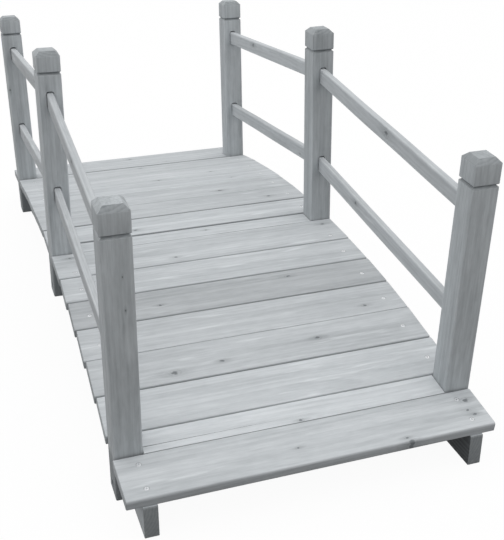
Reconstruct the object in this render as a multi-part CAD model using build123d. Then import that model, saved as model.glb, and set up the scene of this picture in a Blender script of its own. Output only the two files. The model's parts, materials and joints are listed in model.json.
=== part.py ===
from build123d import *
import os
from math import radians, sqrt, tan

# Arched timber footbridge for a garden: stringers with cross ties, a deck, six posts and eight rails.
# Millimetres. X runs across the bridge, Y along it from the near end, and Z up.
# The origin is on the ground under the crown.

# Overall sizes
BRIDGE_LENGTH = 1420.0
DECK_WIDTH = 600.0
DECK_CROWN = 148.0  # deck surface above the ground at mid-span
DECK_RADIUS = 2960.0  # of the arc between the end posts
END_SLOPE = 8.4  # degrees, of the straight ends beyond the arc

# Stringers: arched planks on edge, with a level foot at each end
STRINGER_THICKNESS = 22.5
STRINGER_DEPTH = 75.0
STRINGER_END_RADIUS = 3.0  # upper corners of the ends
FOOT_LENGTH = 140.0

# Deck boards
BOARD_THICKNESS = 16.0
BOARD_GAP = 2.0
BOARD_EDGE_RADIUS = 2.5
NOSE_RADIUS = 4.0
END_SETBACK = 3.0  # nose of an end board behind the stringer's end
BAY_BOARD_COUNT = 6
LAST_BOARD_SHARE = 1.12  # width of a bay's last board, which closes the bay, over that of the others

# Cross ties between the posts of a row, flush with the deck and screwed between the stringers
TIE_DEPTH = 45.0
TIGHT_GAP = 0.4  # where a tie is driven up against a board
TIGHT_EDGE_RADIUS = 0.5
TIE_END_CLEARANCE = 0.2  # between a tie's end and the stringer and post there

# Posts, half lapped over the outer face of a stringer
POST_SIDE = 45.0
END_POST_INSET = 89.5  # outer face of an end post, from the stringer's end
POST_EDGE_RADIUS = 2.5
POST_FOOT_CLEARANCE = 3.0  # feet of the end posts above the ground
POST_BOARD_CLEARANCE = 1.0  # between a post and the boards beside it
GROOVE_LEVEL = 362.0  # lower edge of the groove above the deck
GROOVE_WIDTH = 6.5
GROOVE_DEPTH = 4.0
CAP_HEIGHT = 40.0
CAP_CHAMFER = 8.5
END_POST_LEAN = 2.8  # degrees outwards, along the bridge
MIDDLE_POST_LEAN = 1.0  # degrees inwards, across the bridge

# Rails, housed in slots in the posts
RAIL_THICKNESS = 13.0
RAIL_HEIGHT = 30.0
RAIL_EDGE_RADIUS = 4.0
UPPER_RAIL_LEVEL = 316.0  # middle of the rail above the deck, on the post's axis
LOWER_RAIL_LEVEL = 128.5
RAIL_SEAT_DEPTH = 18.0
SLOT_SIDE_CLEARANCE = 1.0
SLOT_TOP_GAP = 3.0
SLOT_END_CLEARANCE = 1.0

# Cuts run this far past the wood that they cut
OVERRUN = 10.0

# Rows of posts as shares of the spacing, and the two sides as signs
ROW_SHARES = {"near": -1, "middle": 0, "far": 1}
SIDES = {"left": -1, "right": 1}
RAIL_LEVELS = {"upper": UPPER_RAIL_LEVEL, "lower": LOWER_RAIL_LEVEL}

# Sizes that follow from those above
HALF_LENGTH = BRIDGE_LENGTH / 2
POST_SPACING = HALF_LENGTH - END_POST_INSET - POST_SIDE / 2
SEAT_RADIUS = DECK_RADIUS - BOARD_THICKNESS
INNER_FACE = DECK_WIDTH / 2 - POST_SIDE  # of the posts and stringers, from the middle
LAP_FACE = INNER_FACE + STRINGER_THICKNESS  # outer face of a stringer
UNDERSIDE_CROWN = DECK_CROWN - BOARD_THICKNESS - STRINGER_DEPTH
BAY_START = POST_SIDE / 2 + POST_BOARD_CLEARANCE  # of the boards beside the middle posts
BAY_END = (POST_SPACING - BAY_START) * SEAT_RADIUS / DECK_RADIUS  # their last joint, on a stringer


def seat_height(station):
    """Height of the stringers' top edge: an arc over the two bays, and straight ends that level out."""
    on_arc = min(abs(station), BAY_END)
    arc_height = DECK_CROWN - DECK_RADIUS + sqrt(SEAT_RADIUS**2 - on_arc**2)
    return arc_height - (abs(station) - on_arc) * tan(radians(END_SLOPE))


def deck_height(station):
    """Height of the deck's surface at a place along the bridge."""
    return seat_height(station) + BOARD_THICKNESS


def bay_seats(bay, start, end):
    """Names and places of the boards between two rows of posts, all alike but for the last."""
    step = (end - start) / (BAY_BOARD_COUNT - 1 + LAST_BOARD_SHARE)
    stations = [start + index * step for index in range(BAY_BOARD_COUNT)] + [end]
    numbers = range(1, BAY_BOARD_COUNT + 1)
    return [(f"{bay}_bay_board_{number}", stations[number - 1], stations[number]) for number in numbers]


def deck_seats():
    """Name, start and end of every board's or tie's place on the stringers, from the near end."""
    outer = POST_SPACING + POST_SIDE / 2
    near_half = [("near_end_board", -HALF_LENGTH, -outer), ("near_cross_tie", -outer, -BAY_END)]
    near_half += bay_seats("near", -BAY_END, -BAY_START)
    far_half = bay_seats("far", BAY_START, BAY_END)
    far_half += [("far_cross_tie", BAY_END, outer), ("far_end_board", outer, HALF_LENGTH)]
    return near_half + [("middle_cross_tie", -BAY_START, BAY_START)] + far_half


def seat_line():
    """Top edge of a stringer, with one flat for each board."""
    stations = [start for name, start, end in deck_seats()] + [HALF_LENGTH]
    return [(station, seat_height(station)) for station in stations]


def stringer(side):
    """Arched plank on edge, flat under each board, hollowed below between two level feet."""
    foot_start = HALF_LENGTH - FOOT_LENGTH
    top = Polyline(*seat_line())
    underside = Polyline(top @ 1, (HALF_LENGTH, 0), (foot_start, 0))
    arch = ThreePointArc((foot_start, 0), (0, UNDERSIDE_CROWN), (-foot_start, 0))
    near_foot = Polyline((-foot_start, 0), (-HALF_LENGTH, 0), top @ 0)
    profile = make_face(top.edges() + underside.edges() + arch.edges() + near_foot.edges())
    for corner in (top @ 0, top @ 1):
        profile = fillet(profile.vertices().sort_by_distance(corner)[0], STRINGER_END_RADIUS)
    outer_plane = Plane.YZ.offset(side * LAP_FACE)
    return extrude(outer_plane * profile, STRINGER_THICKNESS, dir=(-side, 0, 0))


def lap_cut(side):
    """What a post loses to a stringer: all below its top edge and inside its outer face."""
    top = Polyline(*seat_line())
    below = Polyline(top @ 1, (HALF_LENGTH, -OVERRUN), (-HALF_LENGTH, -OVERRUN), top @ 0)
    profile = make_face(top.edges() + below.edges())
    outer_plane = Plane.YZ.offset(side * LAP_FACE)
    return extrude(outer_plane * profile, POST_SIDE, dir=(-side, 0, 0))


def edge_finish(before, after):
    """Inset and edge radius of the timbers on both sides of a joint, or of a free end's nose."""
    if before is None or after is None:
        return END_SETBACK, NOSE_RADIUS
    if "end_board" in before + after or after == "middle_cross_tie":
        return TIGHT_GAP / 2, TIGHT_EDGE_RADIUS
    return BOARD_GAP / 2, BOARD_EDGE_RADIUS


def crosswise(start, end, length, depth, edges):
    """Timber across the bridge, its top flush with the deck, with its two upper edges rounded."""
    foot = Vector(0, start, seat_height(start))
    head = Vector(0, end, seat_height(end))
    along = (head - foot).normalized()
    insets, radii = zip(*edges)
    width = (head - foot).length - sum(insets)
    section_plane = Plane(origin=foot + along * insets[0], x_dir=along, z_dir=(1, 0, 0))
    section = Pos(0, BOARD_THICKNESS) * Rectangle(width, depth, align=(Align.MIN, Align.MAX))
    for corner, radius in zip(((0, BOARD_THICKNESS), (width, BOARD_THICKNESS)), radii):
        section = fillet(section.vertices().sort_by_distance(corner)[0], radius)
    return extrude(section_plane * section, length / 2, both=True)


def deck():
    """Boards flat on their seats, and cross ties between the two posts of each row, by name."""
    tie_length = 2 * (INNER_FACE - TIE_END_CLEARANCE)
    seats = deck_seats()
    neighbours = [None] + [name for name, start, end in seats] + [None]
    timbers = {}
    for index, (name, start, end) in enumerate(seats):
        edges = [edge_finish(neighbours[index], name), edge_finish(name, neighbours[index + 2])]
        if name.endswith("cross_tie"):
            timbers[name] = crosswise(start, end, tie_length, TIE_DEPTH, edges)
        else:
            timbers[name] = crosswise(start, end, DECK_WIDTH, BOARD_THICKNESS, edges)
    return timbers


def post_place(side, row):
    """Frame of a post: its origin on the post's axis at deck level, leaning as the post does."""
    share = ROW_SHARES[row]
    station = share * POST_SPACING
    lean_along = -share * END_POST_LEAN
    lean_across = -side * (1 - abs(share)) * MIDDLE_POST_LEAN
    across = side * (DECK_WIDTH - POST_SIDE) / 2
    return Location((across, station, deck_height(station)), (lean_along, lean_across, 0))


def post_drop(row):
    """How far a post reaches below the deck: to the stringer's lower edge, or to just off the ground."""
    if row == "middle":
        return BOARD_THICKNESS + STRINGER_DEPTH
    return deck_height(POST_SPACING) - POST_FOOT_CLEARANCE


def frustum(level, lower_side, upper_side, height):
    """Square block on a post's axis that narrows or widens from one level to the next."""
    lower = Pos(0, 0, level) * Rectangle(lower_side, lower_side)
    upper = Pos(0, 0, level + height) * Rectangle(upper_side, upper_side)
    return loft([lower, upper])


def groove_cut():
    """V-shaped groove all round a post, under its cap."""
    outer_side = POST_SIDE + OVERRUN
    waist_side = POST_SIDE - 2 * GROOVE_DEPTH
    half_width = GROOVE_WIDTH / 2
    band = extrude(Pos(0, 0, GROOVE_LEVEL) * Rectangle(outer_side, outer_side), GROOVE_WIDTH)
    lower_slope = frustum(GROOVE_LEVEL, POST_SIDE, waist_side, half_width)
    upper_slope = frustum(GROOVE_LEVEL + half_width, waist_side, POST_SIDE, half_width)
    return band - lower_slope - upper_slope


def post_blank(drop):
    """Post on its own axis with its grooved and chamfered cap, before it is slotted and lapped."""
    shoulder = GROOVE_LEVEL + GROOVE_WIDTH + CAP_HEIGHT - CAP_CHAMFER
    section = RectangleRounded(POST_SIDE, POST_SIDE, POST_EDGE_RADIUS)
    shaft = extrude(Pos(0, 0, -drop) * section, drop + shoulder)
    crown = frustum(shoulder, POST_SIDE, POST_SIDE - 2 * CAP_CHAMFER, CAP_CHAMFER)
    crown &= extrude(Pos(0, 0, shoulder) * section, CAP_CHAMFER)
    return shaft + crown - groove_cut()


def rail_line(side, bay, level):
    """Plane across a rail at its end-post end, with Z along the rail, and the rail's length."""
    on_axis = Pos(0, 0, RAIL_LEVELS[level])
    end_point = (post_place(side, bay) * on_axis).position
    middle_point = (post_place(side, "middle") * on_axis).position
    along = (middle_point - end_point).normalized()
    setback = POST_SIDE / 2 - RAIL_SEAT_DEPTH
    length = (middle_point - end_point).length - 2 * setback
    across = Vector(0, 0, 1).cross(along)
    return Plane(origin=end_point + along * setback, x_dir=across, z_dir=along), length


def rail(side, bay, level):
    """Straight rail with rounded edges, housed in an end post and in the middle post."""
    plane, length = rail_line(side, bay, level)
    section = RectangleRounded(RAIL_THICKNESS, RAIL_HEIGHT, RAIL_EDGE_RADIUS)
    return extrude(plane * section, length)


def rail_slot(side, bay, level):
    """What a rail takes out of its two posts: its own section, eased at the sides, top and ends."""
    plane, length = rail_line(side, bay, level)
    section = RectangleRounded(
        RAIL_THICKNESS + 2 * SLOT_SIDE_CLEARANCE,
        RAIL_HEIGHT + SLOT_TOP_GAP,
        RAIL_EDGE_RADIUS + SLOT_SIDE_CLEARANCE,
    )
    eased = Pos(0, SLOT_TOP_GAP / 2, -SLOT_END_CLEARANCE) * section
    return extrude(plane * eased, length + 2 * SLOT_END_CLEARANCE)


def post(side, row):
    """Post in its place, lapped over the stringer and slotted for the rails that end in it."""
    bays = ("near", "far") if row == "middle" else (row,)
    solid = post_place(side, row) * post_blank(post_drop(row)) - lap_cut(side)
    for bay in bays:
        for level in RAIL_LEVELS:
            solid -= rail_slot(side, bay, level)
    return solid


def bridge():
    """Every piece of the bridge by name."""
    pieces = deck()
    for side_name, side in SIDES.items():
        pieces[f"{side_name}_stringer"] = stringer(side)
        for row in ROW_SHARES:
            pieces[f"{row}_{side_name}_post"] = post(side, row)
        for bay in ("near", "far"):
            for level in RAIL_LEVELS:
                pieces[f"{bay}_{side_name}_{level}_rail"] = rail(side, bay, level)
    return pieces


os.makedirs("parts", exist_ok=True)
for piece_name, piece in bridge().items():
    export_step(piece, f"parts/{piece_name}.step")
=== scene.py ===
# %% [markdown]
# # A garden footbridge in grey-washed softwood
# The bridge has two arched stringers, a deck of boards screwed down on them, three rows of posts and
# eight rails that sit in slots in the posts. The CAD model holds every timber at its real size.
# This lesson gives each timber the look of real wood: edges that catch light, boards that have moved a
# little, grain that follows each piece, knots, sunk screws and a soft studio light.
# Everything is in metres and in the CAD model's frame: X across the bridge, Y along it and Z up.

# %% Load the CAD frame
import json
import math
import random
from collections import namedtuple

import bmesh
import bpy
from mathutils import Matrix, Vector, noise

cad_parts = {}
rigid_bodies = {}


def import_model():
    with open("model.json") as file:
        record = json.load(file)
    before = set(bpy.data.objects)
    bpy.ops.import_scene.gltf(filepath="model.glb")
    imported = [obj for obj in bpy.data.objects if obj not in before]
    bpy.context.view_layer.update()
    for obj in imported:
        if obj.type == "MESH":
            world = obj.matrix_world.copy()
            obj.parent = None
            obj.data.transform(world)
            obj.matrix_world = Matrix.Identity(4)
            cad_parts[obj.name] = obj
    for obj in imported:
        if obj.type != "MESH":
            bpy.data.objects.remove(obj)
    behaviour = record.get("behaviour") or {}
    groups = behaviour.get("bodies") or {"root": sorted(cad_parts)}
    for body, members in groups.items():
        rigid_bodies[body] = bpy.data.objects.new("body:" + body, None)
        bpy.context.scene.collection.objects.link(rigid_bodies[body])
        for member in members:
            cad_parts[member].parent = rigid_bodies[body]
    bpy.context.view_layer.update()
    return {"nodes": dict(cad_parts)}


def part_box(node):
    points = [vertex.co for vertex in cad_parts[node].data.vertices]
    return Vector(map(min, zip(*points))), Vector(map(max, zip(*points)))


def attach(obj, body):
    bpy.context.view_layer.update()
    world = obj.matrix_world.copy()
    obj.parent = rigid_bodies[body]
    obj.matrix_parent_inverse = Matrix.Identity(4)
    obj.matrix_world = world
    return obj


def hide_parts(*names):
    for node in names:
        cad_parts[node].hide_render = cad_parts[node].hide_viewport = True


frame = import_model()
cad_nodes = frame["nodes"]
MM = 0.001
print("CAD nodes:", len(cad_nodes))

# %% [markdown]
# ## How each timber lies
# Wood looks like wood when its grain follows the piece, so every timber needs axes of its own: X along
# the grain and Z out of a chosen face. Typing the angles in would work until someone changes the arch.
# It is safer to read them from the CAD faces: a board's top face, a post's flat cap, a rail's end.

# %% Read the timbers' own axes
RIGHT = Vector((1, 0, 0))
AHEAD = Vector((0, 1, 0))
UP = Vector((0, 0, 1))
NEARLY_ALONG = 0.9


def facing(node_name, direction):
    """Normal of the largest CAD face that looks roughly in a direction."""
    faces = cad_nodes[node_name].data.polygons
    looking = [face for face in faces if face.normal.dot(direction) > NEARLY_ALONG]
    return max(looking, key=lambda face: face.area).normal.copy()


def lie_along(node_name, grain, face):
    """A timber's axes as a matrix, X along the grain and Z out of a face, and its three sizes."""
    across = face.cross(grain).normalized()
    turn = Matrix((grain, across, grain.cross(across)))
    corners = [turn @ vertex.co for vertex in cad_nodes[node_name].data.vertices]
    low = Vector(map(min, *corners))
    high = Vector(map(max, *corners))
    back = turn.transposed()
    return Matrix.Translation(back @ ((low + high) / 2)) @ back.to_4x4(), high - low


def lie_of(node_name):
    """Axes and sizes of a timber, by its kind."""
    if "rail" in node_name:
        return lie_along(node_name, facing(node_name, AHEAD), RIGHT)
    if "post" in node_name:
        return lie_along(node_name, facing(node_name, UP), -AHEAD)
    if "stringer" in node_name:
        return lie_along(node_name, AHEAD, RIGHT)
    return lie_along(node_name, RIGHT, facing(node_name, UP))


lies = {node_name: lie_of(node_name) for node_name in cad_nodes}
deck_names = [node_name for node_name in cad_nodes if "board" in node_name or "tie" in node_name]
for node_name in ("near_end_board", "near_left_post", "near_left_upper_rail"):
    print(node_name, "measures", [round(size / MM, 1) for size in lies[node_name][1]], "mm")

# %% [markdown]
# ## A timber swept along its grain
# Boards, ties and rails are one section carried from end to end. A plain extrusion would be dead
# straight, and planed wood never is: boards cup, wander and are sawn a little out of square.
# So the section is repeated at many stations and every point passes through a small movement.
# The section's corners are true arcs, because rounded edges are what the light picks out.

# %% Sweep a section
ARC_STEPS = 5
FLAT_SHARES = (0.03, 0.1, 0.25, 0.42, 0.58, 0.75, 0.9, 0.97)


def rounded_section(width, depth, radii):
    """Points round a rectangle, from its lower right corner upwards, as (across, up) pairs."""
    points = []
    quarters = ((1, -1), (1, 1), (-1, 1), (-1, -1))
    for index, (side, level) in enumerate(quarters):
        radius = radii[index]
        centre_across = side * (width / 2 - radius)
        centre_up = level * (depth / 2 - radius)
        for step in range(ARC_STEPS + 1):
            angle = math.radians(90 * (index - 1 + step / ARC_STEPS))
            points.append((centre_across + radius * math.cos(angle), centre_up + radius * math.sin(angle)))
        if side == level:
            start = centre_across
            end = -side * (width / 2 - radii[(index + 1) % 4])
            points += [(start + (end - start) * share, level * depth / 2) for share in FLAT_SHARES]
    return points


def sweep(mesh_name, lie, size, section, ease, spacing, moved):
    """Closed mesh of a section carried along X, eased at both ends, each point moved as the wood is."""
    count = round(size.x / spacing)
    stations = [-size.x / 2]
    stations += [-size.x / 2 + ease + (size.x - 2 * ease) * index / count for index in range(count + 1)]
    stations.append(size.x / 2)
    shape = bmesh.new()
    rings = []
    for along in stations:
        at_end = abs(along) == size.x / 2
        squeeze_across = 1 - 2 * ease / size.y if at_end else 1
        squeeze_up = 1 - 2 * ease / size.z if at_end else 1
        points = [moved(along, across * squeeze_across, up * squeeze_up) for across, up in section]
        rings.append([shape.verts.new(lie @ point) for point in points])
    for ring, following in zip(rings, rings[1:]):
        for index in range(len(ring)):
            after = (index + 1) % len(ring)
            shape.faces.new((ring[index], ring[after], following[after], following[index]))
    shape.faces.new(reversed(rings[0]))
    shape.faces.new(rings[-1])
    mesh = bpy.data.meshes.new(mesh_name)
    shape.to_mesh(mesh)
    shape.free()
    return mesh


def show(piece_name, mesh):
    """New object in the scene from a mesh."""
    piece = bpy.data.objects.new(piece_name, mesh)
    bpy.context.scene.collection.objects.link(piece)
    return piece


pieces = {}
print("points round a section:", 4 * (ARC_STEPS + 1) + 2 * len(FLAT_SHARES))

# %% [markdown]
# ## The edges of the boards
# The boards are planed, with eased upper edges and a rounder nose on the outer edge of the two end
# boards. Some joints are tight and some open. One edge for all would give a deck of equal lines, so each
# edge has its own radius, its own swell, which closes a joint or, below zero, opens it, and its own
# share of painted shade, a darker side face that stands in for the shade in the joint and on the nose.

# %% Edges of the boards
# An edge's last value is its share of painted shade on the board's side face.
Edge = namedtuple("Edge", "radius swell grime")
TIGHT = Edge(0.8 * MM, -0.15 * MM, 0.4)
FINE = Edge(1.0 * MM, -0.35 * MM, 0.6)
SNUG = Edge(1.2 * MM, 0.7 * MM, 0.1)
PLAIN = Edge(2.4 * MM, -0.1 * MM, 0.42)
OPEN = Edge(3.0 * MM, -0.5 * MM, 0.85)
WIDE = Edge(4.0 * MM, -0.9 * MM, 1.0)
WORN = Edge(5.0 * MM, -2.7 * MM, 1.0)
NOSE = Edge(4.0 * MM, 0.0, 0.44)
AHEAD_EDGES = {"near_end_board": FINE, "near_bay_board_2": SNUG, "near_bay_board_6": TIGHT}
AHEAD_EDGES |= {"middle_cross_tie": WIDE, "far_bay_board_1": OPEN, "far_bay_board_6": WIDE}
AHEAD_EDGES |= {f"far_bay_board_{number}": SNUG for number in range(2, 6)}
AHEAD_EDGES |= {"far_cross_tie": TIGHT, "far_end_board": NOSE}
BEHIND_EDGES = {"near_end_board": NOSE, "near_cross_tie": FINE, "near_bay_board_3": SNUG}
BEHIND_EDGES |= {"middle_cross_tie": TIGHT, "far_bay_board_1": WIDE, "far_bay_board_2": OPEN}
BEHIND_EDGES |= {f"far_bay_board_{number}": SNUG for number in range(3, 7)}
BEHIND_EDGES |= {"far_cross_tie": WORN, "far_end_board": TIGHT}


def edges_of(node_name):
    """A board's edge ahead and its edge behind."""
    return AHEAD_EDGES.get(node_name, PLAIN), BEHIND_EDGES.get(node_name, PLAIN)


print("edges that aren't plain:", len(AHEAD_EDGES) + len(BEHIND_EDGES))

# %% [markdown]
# ## How the boards have moved
# Boards cup and wander as they dry. On the real bridge the left ends are also sawn out of square, so at
# each joint the further board sticks out a little and shows a dark tick. Modelling that as geometry gives
# the broken line along the deck's edge. A random generator seeded with the board's name keeps every run
# the same.

# %% How a board moves
CUP = (-0.1, 0.3)
LIFT = 0.3 * MM
LIFT_WAVES = (6, 8)
WANDER = 0.3 * MM
WANDER_WAVES = 5
LEFT_TRIM = {"near_bay_board_1": 1.2, "near_bay_board_2": 0.8, "near_bay_board_3": 1.0}
LEFT_TRIM |= {"near_bay_board_4": 0.6, "near_bay_board_5": 0.6, "near_bay_board_6": 0.4}
LEFT_TRIM |= {"near_end_board": 2.1}
LEFT_SKEW = {f"near_bay_board_{number}": 0.034 for number in range(1, 6)} | {"near_end_board": -0.015}
OTHER_LEFT_TRIM = (-1, 1)
OTHER_LEFT_SKEW = (-0.01, 0.02)
RIGHT_TRIM = (-0.9, 0.3)
RIGHT_SKEW = (-0.008, 0.008)


def deck_movement(node_name, size):
    """How far a board's wood has moved: cup, wander, swell, and ends sawn out of square."""
    chance = random.Random(node_name)
    tie = "tie" in node_name
    cup = chance.uniform(*CUP) * MM
    phase = chance.uniform(0, 100)
    left_trim = 0 if tie else LEFT_TRIM.get(node_name, chance.uniform(*OTHER_LEFT_TRIM)) * MM
    right_trim = 0 if tie else chance.uniform(*RIGHT_TRIM) * MM
    right_skew = 0 if tie else chance.uniform(*RIGHT_SKEW)
    left_skew = 0 if tie else LEFT_SKEW.get(node_name, chance.uniform(*OTHER_LEFT_SKEW))
    ahead, behind = edges_of(node_name)

    def moved(along, across, up):
        share = along / size.x + 0.5
        trim = (right_trim + right_skew * across) * share + (left_skew * across - left_trim) * (1 - share)
        lift = cup * (1 - (2 * across / size.y) ** 2)
        lift += LIFT * noise.noise(Vector((along * LIFT_WAVES[0], across * LIFT_WAVES[1], phase)))
        side = across / size.y + 0.5
        wander = WANDER * noise.noise(Vector((along * WANDER_WAVES, phase, 3 if across > 0 else 7)))
        wander += ahead.swell * side - behind.swell * (1 - side)
        return Vector((along + trim, across + wander, up + lift))

    return moved


movements = {node_name: deck_movement(node_name, lies[node_name][1]) for node_name in deck_names}
print("boards and ties that move:", len(movements))

# %% [markdown]
# ## Deck boards and cross ties
# With edges and movement settled, every board and tie is one sweep across the bridge. The ties are deeper
# than the boards and end between the posts, which their own CAD sizes bring in by themselves.

# %% Make the deck
LOWER_EDGE = 1 * MM
END_EASE = 1 * MM
STATION_SPACING = 18 * MM
for node_name in deck_names:
    lie, size = lies[node_name]
    ahead, behind = edges_of(node_name)
    section = rounded_section(size.y, size.z, [LOWER_EDGE, ahead.radius, behind.radius, LOWER_EDGE])
    mesh = sweep(node_name, lie, size, section, END_EASE, STATION_SPACING, movements[node_name])
    pieces[node_name] = show(f"{node_name}_timber", mesh)
print("deck timbers:", len(pieces))

# %% [markdown]
# ## Rails
# A rail is a slim plank with well rounded edges. It runs from slot to slot, so its ends are hidden in
# the posts. The same sweep makes it, with larger arcs.

# %% Make the rails
RAIL_EDGE = 3 * MM
RAIL_END_EASE = 0.5 * MM
RAIL_SWAY = 0.6 * MM
RAIL_WAVES = 5
rail_names = [node_name for node_name in cad_nodes if "rail" in node_name]


def rail_movement(node_name):
    """A rail's slight waviness, none of it at the ends where the slots hold it."""
    phase = random.Random(node_name).uniform(0, 100)
    half = lies[node_name][1].x / 2

    def moved(along, across, up):
        free = max(0.0, 1 - (along / half) ** 2)
        wave = along * RAIL_WAVES
        sway = Vector((0, noise.noise((wave, phase, 1)), noise.noise((wave, phase, 5))))
        return Vector((along, across, up)) + RAIL_SWAY * free * sway

    return moved


for node_name in rail_names:
    lie, size = lies[node_name]
    section = rounded_section(size.y, size.z, [RAIL_EDGE] * 4)
    mesh = sweep(node_name, lie, size, section, RAIL_END_EASE, STATION_SPACING, rail_movement(node_name))
    pieces[node_name] = show(f"{node_name}_timber", mesh)
print("rails:", len(rail_names))

# %% [markdown]
# ## Posts and stringers
# These have joints: laps, slots, grooves and chamfered caps that the CAD model already cuts exactly.
# Modelling them again would only add mistakes, so their CAD meshes are copied. A CAD mesh is made of
# loose triangles with knife edges, so the copy is welded, its flat faces are joined into one each, and
# every outward edge gets a small bevel, as a few years of hands and weather give it. The caps were sawn
# by eye, and three of them are a few millimetres lower than the drawing, so their tops are let down.

# %% Copy and soften the jointed timbers
WELD = 0.01 * MM
FLAT_ANGLE = math.radians(0.5)
SHARP_ANGLE = math.radians(22)
ARRIS = 1.2 * MM
CAP_TOP = 15 * MM
LOW_CAPS = {"far_left_post": 3.5 * MM, "middle_left_post": 3.5 * MM, "middle_right_post": 2 * MM}
jointed_names = [node_name for node_name in cad_nodes if "post" in node_name or "stringer" in node_name]


def softened_copy(node_name):
    """The CAD mesh of a timber, welded, with its outward edges bevelled."""
    shape = bmesh.new()
    shape.from_mesh(cad_nodes[node_name].data)
    bmesh.ops.remove_doubles(shape, verts=shape.verts, dist=WELD)
    bmesh.ops.dissolve_limit(shape, angle_limit=FLAT_ANGLE, verts=shape.verts, edges=shape.edges)
    closed = [edge for edge in shape.edges if edge.is_manifold]
    sharp = [edge for edge in closed if edge.calc_face_angle_signed() > SHARP_ANGLE]
    arris = {"offset": ARRIS, "segments": 3, "profile": 0.5, "affect": "EDGES", "clamp_overlap": True}
    bmesh.ops.bevel(shape, geom=sharp, **arris)
    lie, size = lies[node_name]
    to_timber = lie.inverted()
    for vertex in shape.verts:
        if (to_timber @ vertex.co).x > size.x / 2 - CAP_TOP:
            vertex.co -= lie.col[0].xyz * LOW_CAPS.get(node_name, 0.0)
    mesh = bpy.data.meshes.new(node_name)
    shape.to_mesh(mesh)
    shape.free()
    return mesh, len(sharp)


for node_name in jointed_names:
    mesh, bevelled = softened_copy(node_name)
    pieces[node_name] = show(f"{node_name}_timber", mesh)
    print(node_name, "edges bevelled:", bevelled, "faces:", len(mesh.polygons))

# %% [markdown]
# ## Round tools
# A screw head, its funnel and a bored hole are all round. Primitive cones would need joining, so one
# function turns a profile into a closed solid, as on a lathe, with lobes where a screwdriver bit goes. A
# second one takes such a solid out of a timber with an exact Boolean, applied at once.

# %% Turn round shapes
TURN_STEPS = 32
RECESS_LOBES = 6


def turned(shape, place, profile):
    """Closed turned solid from rings of (radius, level, lobe share), the lowest outer ring first."""
    rings = []
    for radius, level, lobe in profile:
        ring = []
        for step in range(TURN_STEPS):
            angle = 2 * math.pi * step / TURN_STEPS
            reach = radius * (1 + lobe * math.cos(RECESS_LOBES * angle))
            spot = Vector((reach * math.cos(angle), reach * math.sin(angle), level))
            ring.append(shape.verts.new(place @ spot))
        rings.append(ring)
    for ring, following in zip(rings, rings[1:]):
        for step in range(TURN_STEPS):
            after = (step + 1) % TURN_STEPS
            shape.faces.new((ring[step], ring[after], following[after], following[step]))
    shape.faces.new(reversed(rings[0]))
    shape.faces.new(rings[-1])


def cut(piece, shape):
    """Takes a bmesh solid out of a piece, for good."""
    mesh = bpy.data.meshes.new("cutter")
    shape.to_mesh(mesh)
    shape.free()
    cutter = show("cutter", mesh)
    boolean = piece.modifiers.new("cut", "BOOLEAN")
    boolean.operation = "DIFFERENCE"
    boolean.solver = "EXACT"
    boolean.object = cutter
    whole = piece.data
    cut_piece = piece.evaluated_get(bpy.context.evaluated_depsgraph_get())
    piece.data = bpy.data.meshes.new_from_object(cut_piece)
    piece.modifiers.clear()
    bpy.data.objects.remove(cutter)
    bpy.data.meshes.remove(mesh)
    bpy.data.meshes.remove(whole)


print("turned shapes have", TURN_STEPS, "steps")

# %% [markdown]
# ## Deck screws
# Each board is held by a countersunk zinc screw over either stringer, and the end boards by two. The
# heads are pulled a little below the surface, so every one sits in a small funnel in the wood. A dark
# painted ring would fake that, but a cut makes a true recess that works from every side.

# %% Set the deck screws
HEAD = 3.8 * MM
HEAD_SINK = 0.25 * MM
FUNNEL = 4.2 * MM
HOLE_DEPTH = 4 * MM
FIELD_SCREW = -6 * MM
FRONT_SCREW = -30 * MM
END_SCREWS = (25 * MM, -26 * MM)
SCREW_STRAY = (2, 3)
SCREW_TILT = 3
SINK_SHARES = (0.6, 1.4)
FUNNEL_PROFILE = (
    (HEAD * 1.04, -HOLE_DEPTH, 0),
    (HEAD * 1.04, -0.9 * MM, 0),
    (FUNNEL, 0, 0),
    (FUNNEL * 1.25, 1.2 * MM, 0),
)
HEAD_PROFILE = (
    (0.5 * HEAD, -3.4 * MM, 0),
    (0.5 * HEAD, -2.4 * MM, 0),
    (0.97 * HEAD, -0.4 * MM, 0),
    (HEAD, -0.2 * MM, 0),
    (0.95 * HEAD, 0, 0),
    (0.42 * HEAD, 0.05 * MM, 0.16),
    (0.34 * HEAD, -2.2 * MM, 0.16),
)
stringer_line = sum((corner.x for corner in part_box("right_stringer")), 0.0) / 2


def screw_rows(node_name):
    """How far each of a board's screws lies from its middle, along the bridge."""
    if node_name == "near_end_board":
        return END_SCREWS
    if node_name == "far_end_board":
        return [-offset for offset in END_SCREWS]
    return (FRONT_SCREW,) if node_name == "near_bay_board_6" else (FIELD_SCREW,)


def upright_screw(node_name, along, across, chance):
    """Where a screw stands on a board: its funnel's place, and its own with a small tilt."""
    lie, size = lies[node_name]
    funnel = lie @ Matrix.Translation(movements[node_name](along, across, size.z / 2))
    spin = Matrix.Rotation(chance.uniform(0, math.tau), 4, "Z")
    tilt = Matrix.Rotation(math.radians(chance.uniform(-SCREW_TILT, SCREW_TILT)), 4, "X")
    sink = Matrix.Translation((0, 0, -HEAD_SINK * chance.uniform(*SINK_SHARES)))
    return funnel, funnel @ sink @ spin @ tilt


def set_deck_screws():
    """Bores the boards and returns all the screw heads as one mesh."""
    chance = random.Random("deck screws")
    heads = bmesh.new()
    for node_name in deck_names:
        if "tie" in node_name:
            continue
        holes = bmesh.new()
        for along in (-stringer_line, stringer_line):
            for across in screw_rows(node_name):
                stray = Vector([chance.uniform(-limit, limit) * MM for limit in SCREW_STRAY])
                funnel, place = upright_screw(node_name, along + stray.x, across + stray.y, chance)
                turned(holes, funnel, FUNNEL_PROFILE)
                turned(heads, place, HEAD_PROFILE)
        cut(pieces[node_name], holes)
    mesh = bpy.data.meshes.new("deck_screws")
    heads.to_mesh(mesh)
    heads.free()
    return mesh


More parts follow.
